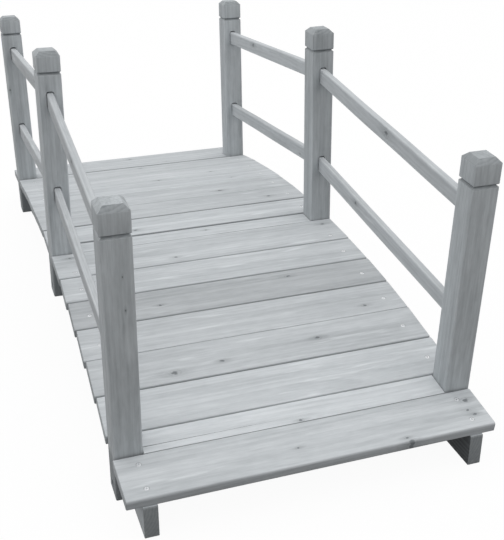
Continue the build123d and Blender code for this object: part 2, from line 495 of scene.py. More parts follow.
deck_screws = show("deck_screws", set_deck_screws())
print("deck screw faces:", len(deck_screws.data.polygons))

# %% [markdown]
# ## Lap screws in the posts
# Each post is screwed to its stringer through the lap. Only dark bores show on the outside of the posts,
# low down, with the screw's head at the bottom. The same two tools make them.

# %% Set the lap screws
LAP_SCREW_RISE = 16 * MM
BORE = 6 * MM
BORE_DEPTH = 5 * MM
LAP_HEAD_SINK = 3 * MM
BORE_PROFILE = ((BORE, -BORE_DEPTH, 0), (BORE, 0, 0), (BORE * 1.2, 1.2 * MM, 0))
post_names = [node_name for node_name in cad_nodes if "post" in node_name]


def set_lap_screws():
    """Bores each post's lap from outside and returns the screw heads as one mesh."""
    heads = bmesh.new()
    for node_name in post_names:
        low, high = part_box(node_name)
        lie, size = lies[node_name]
        outward = RIGHT if low.x > 0 else -RIGHT
        foot = lie @ Vector((-size.x / 2 + LAP_SCREW_RISE, 0, 0))
        face = max(abs(low.x), abs(high.x))
        spot = Vector((outward.x * face, foot.y, foot.z))
        place = Matrix.Translation(spot) @ outward.to_track_quat("Z", "Y").to_matrix().to_4x4()
        hole = bmesh.new()
        turned(hole, place, BORE_PROFILE)
        cut(pieces[node_name], hole)
        turned(heads, place @ Matrix.Translation((0, 0, -LAP_HEAD_SINK)), HEAD_PROFILE)
    mesh = bpy.data.meshes.new("lap_screws")
    heads.to_mesh(mesh)
    heads.free()
    return mesh


lap_screws = show("lap_screws", set_lap_screws())
print("lap screws:", len(post_names))

# %% [markdown]
# ## A drying check
# The near tie has opened at its left end: a thin split that starts at the end grain and runs out along
# the grain. A split is a gap, not a stain, so a long thin wedge is cut out of the tie.

# %% Split the near tie
CHECK_LENGTH = 270 * MM
CHECK_WIDTH = 1.5 * MM
CHECK_DEPTH = 5 * MM
CHECK_OFFSET = -10 * MM
CHECK_SHARES = (0.2, 1.6)


def split_tie(node_name):
    """Cuts a wedge into the left end of a tie, widest at the end and at the surface."""
    lie, size = lies[node_name]
    end = -size.x / 2 - CHECK_WIDTH
    surface = size.z / 2
    wedge = bmesh.new()
    corners = []
    for level, share in zip((surface - CHECK_DEPTH, surface + CHECK_DEPTH), CHECK_SHARES):
        for along, across in ((end, -1), (end + CHECK_LENGTH, 0), (end, 1)):
            spot = Vector((along, CHECK_OFFSET + across * share * CHECK_WIDTH / 2, level))
            corners.append(wedge.verts.new(lie @ spot))
    wedge.faces.new((corners[2], corners[1], corners[0]))
    wedge.faces.new(corners[3:])
    for index in range(3):
        after = (index + 1) % 3
        wedge.faces.new((corners[index], corners[after], corners[after + 3], corners[index + 3]))
    bmesh.ops.recalc_face_normals(wedge, faces=wedge.faces)
    cut(pieces[node_name], wedge)


split_tie("near_cross_tie")
print("near tie faces:", len(pieces["near_cross_tie"].data.polygons))

# %% [markdown]
# ## Knots and tones of each timber
# The knots of the real bridge are few and easy to see, so they are listed, in millimetres from the middle
# of their timber: along the grain, across it, and the radius. A timber that isn't listed gets one knot by
# chance. Boards from different trees also differ a little in tone, as the second list says.

# %% List knots and tones
KNOTS = {
    "near_end_board": (
        (278, 19, 4.4), (270, -4, 2.6), (277, -15, 3), (146, -34, 2.6), (151, -43, 4), (-26, -8, 2),
    ),
    "near_cross_tie": ((0, -20, 2.8),),
    "near_bay_board_1": (),
    "near_bay_board_2": ((-163, -22, 5.2), (-78, -13, 3.8), (102, 4, 3.6)),
    "near_bay_board_3": ((223, -20, 3.2),),
    "near_bay_board_4": ((-139, -8, 2.8), (121, 23, 3.4)),
    "near_bay_board_5": (),
    "near_bay_board_6": ((-65, -28, 3.4), (272, 28, 3.4), (-267, 30, 3.4)),
    "middle_cross_tie": ((27, 3, 2),),
    "far_bay_board_3": ((127, -19, 4.5),),
    "far_bay_board_4": ((16, 38, 3), (188, -11, 2.6)),
    "far_bay_board_5": ((157, -23, 3),),
    "near_right_upper_rail": ((-14, 4, 6),),
    "near_right_lower_rail": ((93, 5, 4),),
    "far_right_upper_rail": ((97, 6, 5),),
    "near_left_upper_rail": ((10, 5, 4.2),),
    "near_left_post": ((142, -6, 1.2), (89, -8, 1.6)),
    "near_right_post": ((-175, 9, 3),),
    "middle_left_post": (),
    "middle_right_post": (),
    "far_left_post": ((71, 19, 2.4),),
    "far_right_post": (),
}
TONES = {
    "near_end_board": 1.07, "near_cross_tie": 1.15, "near_bay_board_1": 1.11, "near_bay_board_2": 1.0,
    "near_bay_board_3": 0.99, "near_bay_board_4": 0.85, "near_bay_board_5": 1.05, "near_bay_board_6": 1.04,
    "middle_cross_tie": 1.11, "far_bay_board_1": 1.1, "far_bay_board_2": 1.0, "far_bay_board_3": 1.01,
    "far_bay_board_4": 1.08, "far_bay_board_5": 1.05, "far_bay_board_6": 1.02, "far_cross_tie": 1.04,
    "far_end_board": 1.02, "near_left_post": 1.0, "near_right_post": 1.05, "middle_left_post": 1.06,
    "middle_right_post": 0.93, "far_left_post": 1.0, "far_right_post": 1.04,
    "near_right_upper_rail": 1.06, "far_right_upper_rail": 1.07,
}
KNOT_LIMIT = 6
FAR_AWAY = 9.0
KNOT_STOCK = 60 * MM
KNOT_RADIUS_SHARES = (0.04, 0.07)
KNOT_ALONG_SHARE = 0.4
KNOT_ACROSS_SHARE = 0.35


def knots_of(node_name):
    """A timber's knots as (along, across, radius) in metres: those that are listed, or one by chance."""
    chance = random.Random(node_name + " knots")
    size = lies[node_name][1]
    if node_name in KNOTS:
        found = [tuple(value * MM for value in knot) for knot in KNOTS[node_name]]
    else:
        radius = chance.uniform(*KNOT_RADIUS_SHARES) * min(size.y, KNOT_STOCK)
        along = chance.uniform(-KNOT_ALONG_SHARE, KNOT_ALONG_SHARE) * size.x
        across = chance.uniform(-KNOT_ACROSS_SHARE, KNOT_ACROSS_SHARE) * size.y
        found = [(along, across, radius)]
    return found + [(FAR_AWAY, 0, 0)] * (KNOT_LIMIT - len(found))


print("timbers with listed knots:", len(KNOTS))

# %% [markdown]
# ## Which faces are darker
# End grain drinks more of the wash and goes darker than the sides. The stringers' inner sides under the
# deck and the boards' side faces in the joints and on the noses get painted shade, the caps' flats and
# chamfers are darkened by amounts given for each post, and the posts get painted shade below the deck.
# Painting this by hand would not follow a change in the CAD model, so each face is judged by which way it is
# turned.

# %% Judge the faces
NARROW = 1.5 * MM
END_FACING = 0.5
FLAT_FACING = 0.95
CAP_FLATS = {"near_left_post": 0.0, "near_right_post": 0.7}
CAP_FLAT = 0.4
SIDE_CHAMFERS = {"near_left_post": 0.0, "near_right_post": 1.0}
SIDE_CHAMFER = 0.5
STRINGER_END = 0.56
BOARD_END = 0.65
# Steepness of a board's face where its painted shade starts and where it is full.
SIDE_SHADE_START = 0.3
SIDE_SHADE_FULL = 0.75


def narrow(face, mesh):
    """Whether a face is a thin strip, as on a bevel or a rounded edge."""
    corners = [mesh.vertices[index].co for index in face.vertices]
    around = sum((corner - corners[index - 1]).length for index, corner in enumerate(corners))
    return 2 * face.area / around < NARROW


def end_and_shade_share(node_name, normal, lie):
    """How dark a face is made: end grain, and the painted shade on the stringers' inner sides, most; then
    the painted shade on the boards' side faces.
    """
    turn = abs(normal.dot(lie.col[0].xyz))
    if "post" in node_name and turn > FLAT_FACING:
        return CAP_FLATS.get(node_name, CAP_FLAT)
    if "stringer" in node_name and turn > END_FACING:
        return STRINGER_END
    if node_name in deck_names and turn > END_FACING:
        return BOARD_END
    if turn > END_FACING:
        sideways = "post" in node_name and abs(normal.x) > END_FACING
        return SIDE_CHAMFERS.get(node_name, SIDE_CHAMFER) if sideways else 1.0
    if "stringer" in node_name:
        # Painted shade: a stringer's inner side, under the deck, goes fully dark.
        return float(normal.x * lie.translation.x < 0 and abs(normal.x) > END_FACING)
    if node_name in deck_names:
        steep = normal.dot(lie.col[1].xyz)
        ahead, behind = edges_of(node_name)
        edge = ahead if steep > 0 else behind
        # Painted shade on a board's side face, in a joint or on a nose, by its edge's share.
        return edge.grime * min(1.0, max(0.0, (abs(steep) - SIDE_SHADE_START) / (SIDE_SHADE_FULL - SIDE_SHADE_START)))
    return 0.0


def damp_line(node_name):
    """Height along a post, from its middle, below which it gets painted shade: the top of the deck."""
    if "post" not in node_name:
        return -FAR_AWAY
    row = node_name.split("_")[0]
    deck_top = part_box(f"{row}_cross_tie")[1].z
    lie = lies[node_name][0]
    return (deck_top - lie.translation.z) / lie.col[0].z


# Where the painted shade below the deck starts on the near left post.
print("damp stands", round(damp_line("near_left_post") / MM), "mm from the middle of the near left post")

# %% [markdown]
# ## What a timber tells its material
# One wood material has to serve many timbers, each with its own grain, tone and knots. Object
# coordinates could carry the grain, but they change when a piece is moved or joined. Attributes stored
# in the mesh stay with it: where each point lies in its timber, a seed, a tone, up to six knots, which
# faces are end grain or in painted shade, which are worn edges with a painted highlight, and below what
# height a post gets painted shade.

# %% Write the timber data
SEEDS = (0, 10)
OTHER_TONES = (0.97, 1.02)
SMOOTH_ANGLE = math.radians(30)


def store(mesh, attribute_name, kind, domain, field, values):
    """Writes one attribute of a mesh from a flat list."""
    attribute = mesh.attributes.get(attribute_name) or mesh.attributes.new(attribute_name, kind, domain)
    attribute.data.foreach_set(field, values)


def write_timber_data(node_name):
    """Stores what the wood material reads: place, seed, tone, knots, end grain and painted shade, worn edges
    with a painted highlight, and the height of the painted shade on posts.
    """
    mesh = pieces[node_name].data
    lie = lies[node_name][0]
    chance = random.Random(node_name + " wood")
    to_timber = lie.inverted()
    count = len(mesh.vertices)
    places = [value for vertex in mesh.vertices for value in to_timber @ vertex.co]
    store(mesh, "timber_place", "FLOAT_VECTOR", "POINT", "vector", places)
    store(mesh, "timber_seed", "FLOAT", "POINT", "value", [chance.uniform(*SEEDS)] * count)
    tone = TONES.get(node_name, chance.uniform(*OTHER_TONES))
    store(mesh, "timber_tone", "FLOAT", "POINT", "value", [tone] * count)
    for index, knot in enumerate(knots_of(node_name)):
        store(mesh, f"knot_{index + 1}", "FLOAT_VECTOR", "POINT", "vector", list(knot) * count)
    store(mesh, "damp_line", "FLOAT", "POINT", "value", [damp_line(node_name)] * count)
    # Each face's darkening: end grain, and painted shade on the stringers' inner sides and the boards' side
    # faces.
    ends = [end_and_shade_share(node_name, face.normal, lie) for face in mesh.polygons]
    store(mesh, "end_grain", "FLOAT", "FACE", "value", ends)
    # Narrow faces on the edges go paler: wear, and a painted highlight.
    worn = [float(narrow(face, mesh)) for face in mesh.polygons]
    store(mesh, "worn_edge", "FLOAT", "FACE", "value", worn)
    mesh.shade_smooth()
    mesh.set_sharp_from_angle(angle=SMOOTH_ANGLE)
    return sum(worn)


worn_and_highlit_faces = sum(write_timber_data(node_name) for node_name in pieces)
# Count of the narrow edge faces that get wear and a painted highlight.
print("worn faces:", int(worn_and_highlit_faces))

# %% [markdown]
# ## Short words for shader nodes
# A shader tree written node by node is long. A few helpers keep it readable: one places a node with its
# inputs, others do sums, ramps, noise and mixes, and one opens a node group with named sockets.

# %% Node helpers
def put(tree, kind, inputs=None, **settings):
    """New node in a tree; an input is a value, or another node's output to link."""
    node = tree.nodes.new(kind)
    for setting, value in settings.items():
        setattr(node, setting, value)
    for socket, value in (inputs or {}).items():
        if isinstance(value, bpy.types.NodeSocket):
            tree.links.new(value, node.inputs[socket])
        else:
            node.inputs[socket].default_value = value
    return node


def maths(tree, operation, *values, clamp=False):
    """Output of a Math node."""
    inputs = dict(enumerate(values))
    return put(tree, "ShaderNodeMath", inputs, operation=operation, use_clamp=clamp).outputs[0]


def smooth(tree, value, start, end):
    """Output that rises smoothly from 0 to 1 as a value goes from start to end."""
    inputs = {"Value": value, "From Min": start, "From Max": end}
    return put(tree, "ShaderNodeMapRange", inputs, interpolation_type="SMOOTHSTEP").outputs[0]


def stretched(tree, place, scales):
    """Coordinates multiplied by three scales."""
    return put(tree, "ShaderNodeVectorMath", {0: place, 1: scales}, operation="MULTIPLY").outputs[0]


def grain_noise(tree, place, scales, detail, roughness=0.5):
    """Noise value over stretched coordinates."""
    inputs = {"Vector": stretched(tree, place, scales), "Scale": 1.0}
    inputs |= {"Detail": detail, "Roughness": roughness}
    return put(tree, "ShaderNodeTexNoise", inputs).outputs[0]


def shifted(tree, place, seed, stride):
    """Coordinates moved by a stride times a seed, so that each timber has its own stretch of noise."""
    shift = put(tree, "ShaderNodeVectorMath", {0: stride, "Scale": seed}, operation="SCALE").outputs[0]
    return put(tree, "ShaderNodeVectorMath", {0: place, 1: shift}).outputs[0]


def about_zero(tree, value):
    """A noise value moved so that its middle is zero."""
    return maths(tree, "SUBTRACT", value, 0.5)


def mix(tree, share, first, second, blend="MIX"):
    """Mixed colour."""
    inputs = {"Factor": share, 6: first, 7: second}
    return put(tree, "ShaderNodeMix", inputs, data_type="RGBA", blend_type=blend).outputs[2]


def new_group(group_name, inputs, outputs):
    """Node group with named sockets, its inputs and its outputs."""
    group = bpy.data.node_groups.new(group_name, "ShaderNodeTree")
    for socket_name, (kind, value) in inputs.items():
        socket = group.interface.new_socket(socket_name, in_out="INPUT", socket_type=f"NodeSocket{kind}")
        socket.default_value = value
    for socket_name, kind in outputs.items():
        group.interface.new_socket(socket_name, in_out="OUTPUT", socket_type=f"NodeSocket{kind}")
    return group, group.nodes.new("NodeGroupInput").outputs, group.nodes.new("NodeGroupOutput").inputs


def paint(red, green, blue):
    """A colour as it is seen on a screen, 0 to 255, in the linear values that shaders use."""
    shares = [value / 255 for value in (red, green, blue)]
    return tuple(v / 12.92 if v < 0.04045 else ((v + 0.055) / 1.055) ** 2.4 for v in shares) + (1.0,)


print("mid grey is", round(paint(128, 128, 128)[0], 3), "in linear light")

# %% [markdown]
# ## Knots
# A knot is a branch that the tree grew round. On a board it shows as a small dark eye in a soft smudge,
# and the grain flows round it. The group gives masks for the core, the rim and the smudge, and a bend
# that pulls the grain's coordinates in towards the knot, so that the lines drawn with them spread round it.

# %% Knot group
LEAST_KNOT = 0.1 * MM
RAGGED_WAVES = (130, 280, 280)
EYE = (0.7, 1.6)
TRAIL = (0.3, 1.4)
CALM = (0.55, 0.0)
BEND_REACH = 2.2
BEND_SHARE = 0.85


def build_knot_group():
    """Group that gives a knot's core, rim, smudge and bend at a place in its timber."""
    inputs = {"Place": ("Vector", (0, 0, 0)), "Knot": ("Vector", (0, 0, 0))}
    outputs = {"Core": "Float", "Rim": "Float", "Smudge": "Float", "Bend": "Float"}
    group, given, result = new_group("Branch knot", inputs, outputs)
    place = put(group, "ShaderNodeSeparateXYZ", {0: given["Place"]}).outputs
    knot = put(group, "ShaderNodeSeparateXYZ", {0: given["Knot"]}).outputs
    along = maths(group, "SUBTRACT", place["X"], knot["X"])
    across = maths(group, "SUBTRACT", place["Y"], knot["Y"])
    radius = maths(group, "MAXIMUM", knot["Z"], LEAST_KNOT)
    ragged = about_zero(group, grain_noise(group, given["Place"], RAGGED_WAVES, 2.0))

    def reach(squash, raggedness):
        """Distance from the knot in its own radii, with the knot drawn out along the grain."""
        flat = maths(group, "POWER", maths(group, "MULTIPLY", along, squash), 2.0)
        squares = maths(group, "ADD", flat, maths(group, "POWER", across, 2.0))
        plain = maths(group, "DIVIDE", maths(group, "SQRT", squares), radius)
        return maths(group, "ADD", plain, maths(group, "MULTIPLY", ragged, raggedness))

    eye = reach(*EYE)
    trail = reach(*TRAIL)
    calm = reach(*CALM)
    core = smooth(group, eye, 1.0, 0.4)
    rim = maths(group, "MULTIPLY", smooth(group, eye, 1.1, 1.4), smooth(group, eye, 2.0, 1.6))
    rim = maths(group, "MULTIPLY", rim, smooth(group, ragged, -0.05, 0.15))
    smudge = smooth(group, trail, 2.4, 0.4)
    spread = maths(group, "POWER", maths(group, "DIVIDE", calm, BEND_REACH), 2.0)
    bell = maths(group, "POWER", maths(group, "ADD", 1.0, spread), -2.0)
    bend = maths(group, "MULTIPLY", maths(group, "MULTIPLY", across, bell), BEND_SHARE)
    for socket, value in (("Core", core), ("Rim", rim), ("Smudge", smudge), ("Bend", bend)):
        group.links.new(value, result[socket])
    return group


knot_group = build_knot_group()
print("knot group nodes:", len(knot_group.nodes))

# %% [markdown]
# ## Growth rings
# A board is a slice of a round log, so its grain comes from rings about a pith that lies somewhere
# outside the board. Measuring the distance from that line, with a slow wander along the grain, gives
# long flames on the flat of a board, tight lines at its edges and arcs on its ends, all in one.
# Each ring starts pale and ends in a narrow dark line, which a rising and a falling ramp make.

# %% Growth ring group
RING_STRIDE = (3.1, 7.7, 5.3)
SWAY_WAVES = (2.2, 4, 4)
WOBBLE = 2.5 * MM
WOBBLE_WAVES = (9, 120, 120)
PITH_SPREAD = 30 * MM
SEED_TURN = 9.0
LATE_START = (0.2, 0.85)
LATE_END = (1.0, 0.9)


def build_ring_group():
    """Group that gives the dark late wood of rings about a pith."""
    inputs = {
        "Place": ("Vector", (0, 0, 0)),
        "Seed": ("Float", 0.0),
        "Ring Width": ("Float", 0.004),
        "Pith Depth": ("Float", 0.05),
        "Sway": ("Float", 0.02),
    }
    group, given, result = new_group("Growth rings", inputs, {"Late Wood": "Float"})
    own_place = shifted(group, given["Place"], given["Seed"], RING_STRIDE)
    place = put(group, "ShaderNodeSeparateXYZ", {0: given["Place"]}).outputs
    sway = put(
        group,
        "ShaderNodeTexNoise",
        {"Vector": stretched(group, own_place, SWAY_WAVES), "Scale": 1.0, "Detail": 1.0},
    ).outputs["Color"]
    sway = put(group, "ShaderNodeSeparateColor", {0: sway}).outputs
    drift = maths(group, "MULTIPLY", about_zero(group, sway[0]), given["Sway"])
    dip = maths(group, "MULTIPLY", about_zero(group, sway[1]), given["Sway"])
    swing = maths(group, "SINE", maths(group, "MULTIPLY", given["Seed"], SEED_TURN))
    side = maths(group, "MULTIPLY", swing, PITH_SPREAD)
    across = maths(group, "ADD", maths(group, "ADD", place["Y"], drift), side)
    depth = maths(group, "ADD", maths(group, "ADD", place["Z"], given["Pith Depth"]), dip)
    squares = maths(group, "ADD", maths(group, "POWER", across, 2.0), maths(group, "POWER", depth, 2.0))
    wobble = about_zero(group, grain_noise(group, own_place, WOBBLE_WAVES, 3.0))
    radius = maths(group, "ADD", maths(group, "SQRT", squares), maths(group, "MULTIPLY", wobble, WOBBLE))
    phase = maths(group, "FRACT", maths(group, "DIVIDE", radius, given["Ring Width"]))
    late = maths(group, "MULTIPLY", smooth(group, phase, *LATE_START), smooth(group, phase, *LATE_END))
    group.links.new(late, result["Late Wood"])
    return group


ring_group = build_ring_group()
print("ring group nodes:", len(ring_group.nodes))

# %% [markdown]
# ## Fibres and wash
# Between the rings the wood has fibres, fine straight streaks along the grain. The thin grey wash that
# was brushed on has taken unevenly, in broad soft bands, a mottle and a few short pale smears where the
# wood drank less of it. All of these are noise drawn out along the grain, at several sizes.

# %% Fibre group
FIBRE_STRIDE = (1.7, 4.9, 2.3)
FIBRES = {
    "Band": ((2.0, 42, 42), 2.0, 0.5),
    "Streak": ((7, 250, 250), 3.0, 0.6),
    "Fibre": ((45, 1000, 1000), 2.0, 0.6),
    "Mottle": ((32, 130, 130), 3.0, 0.6),
    "Smear": ((9, 80, 80), 2.0, 0.5),
    "Patch": ((4, 14, 14), 2.0, 0.5),
}
SMEAR_RAMP = (0.6, 0.76)


def build_fibre_group():
    """Group that gives each of the fibre noises."""
    inputs = {"Place": ("Vector", (0, 0, 0)), "Seed": ("Float", 0.0)}
    group, given, result = new_group("Wood fibres", inputs, {name: "Float" for name in FIBRES})
    place = shifted(group, given["Place"], given["Seed"], FIBRE_STRIDE)
    for name, (waves, detail, roughness) in FIBRES.items():
        value = grain_noise(group, place, waves, detail, roughness)
        if name == "Smear":
            value = smooth(group, value, *SMEAR_RAMP)
        group.links.new(value, result[name])
    return group


fibre_group = build_fibre_group()
print("fibre group nodes:", len(fibre_group.nodes))

# %% [markdown]
# ## Reading the timber's own data
# The attributes written above come back into the shader through Attribute nodes. A timber has up to six
# knots, and a material can't loop, so the knot group is placed six times and the masks are gathered.

# %% Read attributes and gather knots
def read(tree, attribute_name, output):
    """Output of an Attribute node."""
    return put(tree, "ShaderNodeAttribute", attribute_name=attribute_name).outputs[output]


def use(tree, group, inputs):
    """Outputs of a placed node group."""
    node = tree.nodes.new("ShaderNodeGroup")
    node.node_tree = group
    for socket, value in inputs.items():
        tree.links.new(value, node.inputs[socket])
    return node.outputs


def gather_knots(tree, place):
    """Largest core, rim and smudge and the summed bend of all of a timber's knots."""
    gathered = None
    for index in range(KNOT_LIMIT):
        knot = use(tree, knot_group, {"Place": place, "Knot": read(tree, f"knot_{index + 1}", "Vector")})
        if gathered is None:
            gathered = {socket.name: socket for socket in knot}
            continue
        for mask in ("Core", "Rim", "Smudge"):
            gathered[mask] = maths(tree, "MAXIMUM", gathered[mask], knot[mask])
        gathered["Bend"] = maths(tree, "ADD", gathered["Bend"], knot["Bend"])
    return gathered


print("knots gathered for each timber:", KNOT_LIMIT)

# %% [markdown]
# ## Colour of the wood
# The wash is nearly one grey, and what shows through it is small: rings, bands, streaks and a mottle that
# each darken it a little, pale smears, and knots. They are added up to one darkness, so that each can be
# set by itself. On top come worn edges, paler with wear and a painted highlight, end grain, darker with its
# rings, painted shade on the stringers' inner sides and the boards' side faces, and painted shade on the
# posts below the deck.

# %% Wash, knots, weather and painted light
FIBRE_SHARE = 0.4
MEAN_DARKNESS = 0.24
KNOT_SHARES = {"Smudge": 0.22, "Rim": 0.2, "Core": 0.75}
SMEAR_COLOUR = paint(232, 236, 239)
# Worn edges: paler with wear and with a painted highlight.
WORN_AND_HIGHLIT_COLOUR = paint(222, 226, 229)
WORN_AND_HIGHLIT_RAMP = (0.35, 0.65)
END_RING_SHARE = 0.8
# Painted shade on the posts below the deck: its share, and how far below the deck it fades in.
DECK_SHADE_SHARE = 0.55
DECK_SHADE_RISE = 20 * MM


def washed(group, given, late, fibres, knots):
    """Colour of the washed wood, with smears and knots."""
    darkness = maths(group, "MULTIPLY", late, given["Ring Share"])
    for name in ("Band", "Streak", "Mottle"):
        uneven = maths(group, "MULTIPLY", about_zero(group, fibres[name]), given[f"{name} Share"])
        darkness = maths(group, "ADD", darkness, uneven)
    fine = maths(group, "MULTIPLY", about_zero(group, fibres["Fibre"]), FIBRE_SHARE)
    darkness = maths(group, "ADD", darkness, fine)
    darkness = maths(group, "ADD", darkness, MEAN_DARKNESS, clamp=True)
    colour = mix(group, darkness, given["Pale"], given["Dark"])
    smear = maths(group, "MULTIPLY", fibres["Smear"], given["Smear Share"])
    colour = mix(group, smear, colour, SMEAR_COLOUR)
    for mask, share in KNOT_SHARES.items():
        colour = mix(group, maths(group, "MULTIPLY", knots[mask], share), colour, given["Knot"])
    return colour


def weathered_with_painted_light(group, given, colour, place, late, fibres):
    """A colour with worn edges, paler with wear and a painted highlight, the timber's tone, end grain with
    painted shade, and painted shade on posts below the deck.
    """
    # Paler worn edges: wear, and a painted highlight.
    worn = maths(group, "MULTIPLY", read(group, "worn_edge", "Fac"), given["Wear And Highlight Share"])
    worn = maths(group, "MULTIPLY", worn, smooth(group, fibres["Patch"], *WORN_AND_HIGHLIT_RAMP))
    colour = mix(group, worn, colour, WORN_AND_HIGHLIT_COLOUR)
    tone = read(group, "timber_tone", "Fac")
    grey = put(group, "ShaderNodeCombineColor", {axis: tone for axis in range(3)}).outputs[0]
    colour = mix(group, 1.0, colour, grey, "MULTIPLY")
    # End grain, and painted shade on the stringers' inner sides and the boards' side faces, in the end
    # colour.
    ends = maths(group, "MULTIPLY", read(group, "end_grain", "Fac"), given["End Share"])
    end_rings = maths(group, "MULTIPLY", late, END_RING_SHARE)
    colour = mix(group, ends, colour, mix(group, end_rings, given["End"], given["Knot"]))
    # Painted shade on a post below the deck, in the knot colour.
    height_along = put(group, "ShaderNodeSeparateXYZ", {0: place}).outputs["X"]
    below = maths(group, "SUBTRACT", height_along, read(group, "damp_line", "Fac"))
    deck_shade = maths(group, "MULTIPLY", smooth(group, below, 0.0, -DECK_SHADE_RISE), DECK_SHADE_SHARE)
    return mix(group, deck_shade, colour, given["Knot"])


print("knot masks and their shares:", KNOT_SHARES)

# %% [markdown]
# ## Washed timber
# One group puts rings, fibres, wash, knots, end grain, worn edges and the painted shade and highlight
# together. It gives a colour, a roughness and a height, and leaves the shader itself to each material, which
# sets its own values.

# %% Timber group
TIMBER_INPUTS = {
    "Pale": ("Color", paint(208, 212, 215)),
    "Dark": ("Color", paint(160, 165, 168)),
    # The knot colour is also the colour of the painted shade on posts below the deck.
    "Knot": ("Color", paint(92, 97, 100)),
    # The end colour is also the colour of the painted shade on the boards' side faces and the stringers'
    # inner sides.
    "End": ("Color", paint(128, 133, 136)),
    "Ring Width": ("Float", 0.005),
    "Pith Depth": ("Float", 0.05),
    "Sway": ("Float", 0.02),
    "Ring Share": ("Float", 0.13),
    "Band Share": ("Float", 0.95),
    "Streak Share": ("Float", 0.5),
    "Mottle Share": ("Float", 0.5),
    "Smear Share": ("Float", 0.35),
    "End Share": ("Float", 0.5),
    "Wear And Highlight Share": ("Float", 0.3),
}
LEAST_ROUGHNESS = 0.62
STREAK_ROUGHNESS = 0.25
RELIEF_SHARES = {"Fibre": 0.6, "Streak": 0.8}
RING_RELIEF = 0.3
KNOT_RELIEF = -0.3


def build_timber_group():
    """Group that gives a timber's colour, roughness and height from its stored data."""
    outputs = {"Colour": "Color", "Roughness": "Float", "Height": "Float"}
    group, given, result = new_group("Washed timber", TIMBER_INPUTS, outputs)
    place = read(group, "timber_place", "Vector")
    seed = read(group, "timber_seed", "Fac")
    knots = gather_knots(group, place)
    bend = put(group, "ShaderNodeCombineXYZ", {1: knots["Bend"]}).outputs[0]
    bent = put(group, "ShaderNodeVectorMath", {0: place, 1: bend}, operation="SUBTRACT").outputs[0]
    ring_inputs = {"Place": bent, "Seed": seed}
    ring_inputs |= {name: given[name] for name in ("Ring Width", "Pith Depth", "Sway")}
    late = use(group, ring_group, ring_inputs)["Late Wood"]
    fibres = use(group, fibre_group, {"Place": bent, "Seed": seed})
    colour = washed(group, given, late, fibres, knots)
    group.links.new(weathered_with_painted_light(group, given, colour, place, late, fibres), result["Colour"])
    rough = maths(group, "MULTIPLY", fibres["Streak"], STREAK_ROUGHNESS)
    group.links.new(maths(group, "ADD", LEAST_ROUGHNESS, rough), result["Roughness"])
    height = maths(group, "MULTIPLY", late, RING_RELIEF)
    height = maths(group, "ADD", height, maths(group, "MULTIPLY", knots["Rim"], KNOT_RELIEF))
    for name, share in RELIEF_SHARES.items():
        relief = maths(group, "MULTIPLY", about_zero(group, fibres[name]), share)
        height = maths(group, "ADD", height, relief)
    group.links.new(height, result["Height"])
    return group


timber_group = build_timber_group()
print("timber group nodes:", len(timber_group.nodes))

# %% [markdown]
# ## The four wood finishes
# Deck, posts, rails and stringers come from different stock, so each material places the same group
# with its own colours and grain. The Principled shader and its Bump stay in the material.

# %% Wood materials
GRAIN_RELIEF = 0.35 * MM
GRAIN_BUMP = 0.5
WOOD_SHINE = 0.3


def wood_material(finish_name, values):
    """Material of one finish: the timber group with its own values, a bump and a shader."""
    material = bpy.data.materials.new(finish_name)
    material.use_nodes = True
    tree = material.node_tree
    shader = tree.nodes["Principled BSDF"]
    timber = tree.nodes.new("ShaderNodeGroup")
    timber.node_tree = timber_group
    for socket, value in values.items():
        timber.inputs[socket].default_value = value
    shader.inputs["Specular IOR Level"].default_value = WOOD_SHINE
    tree.links.new(timber.outputs["Colour"], shader.inputs["Base Color"])
    tree.links.new(timber.outputs["Roughness"], shader.inputs["Roughness"])
    relief = put(
        tree,
        "ShaderNodeBump",
        {"Strength": GRAIN_BUMP, "Distance": GRAIN_RELIEF, "Height": timber.outputs["Height"]},
    )
    tree.links.new(relief.outputs["Normal"], shader.inputs["Normal"])
    return material


FINISHES = {
    "deck_wood": {
        # The deck's end colour also paints the shade on the boards' side faces.
        "End": paint(110, 115, 118), "Ring Width": 0.0055, "Pith Depth": 0.045,
        "Smear Share": 0.45, "End Share": 0.7, "Wear And Highlight Share": 0.1,
    },
    "post_wood": {
        "Pale": paint(195, 200, 203), "Dark": paint(151, 156, 159), "Ring Width": 0.0045, "Pith Depth": 0.06,
        "Ring Share": 0.14, "Band Share": 1.2, "Streak Share": 1.0, "Mottle Share": 0.8,
        "Smear Share": 0.15, "Wear And Highlight Share": 0.5,
    },
    "rail_wood": {
        "Pale": paint(202, 206, 209), "Dark": paint(155, 160, 163), "Ring Width": 0.0045, "Pith Depth": 0.05,
        "Band Share": 0.6,
    },
    "stringer_wood": {
        "Pale": paint(195, 200, 203), "Dark": paint(151, 156, 159), "Ring Width": 0.005, "Pith Depth": 0.05,
        # The stringers' knot and end colours also paint the shade on their inner sides under the deck.
        "Knot": paint(44, 47, 49), "End": paint(76, 80, 82), "End Share": 0.9,
    },
}
finishes = {name: wood_material(name, values) for name, values in FINISHES.items()}
print("wood finishes:", sorted(finishes))

# %% [markdown]
# ## Zinc screws
# The heads are plated steel, bright but dulled by the film of dust that lies on everything outdoors. A
# pure metal shows only what it mirrors, so the surface is part metal and part plain pale grey.

# %% Zinc material
ZINC_SHARE = 0.55
BRIGHT_ZINC = paint(250, 251, 252)
DULL_ZINC = paint(214, 218, 222)
DUST_WAVES = (420, 420, 420)
DUST_RAMP = (0.3, 0.75)
ZINC_ROUGHNESS = 0.3
DUST_ROUGHNESS = 0.3


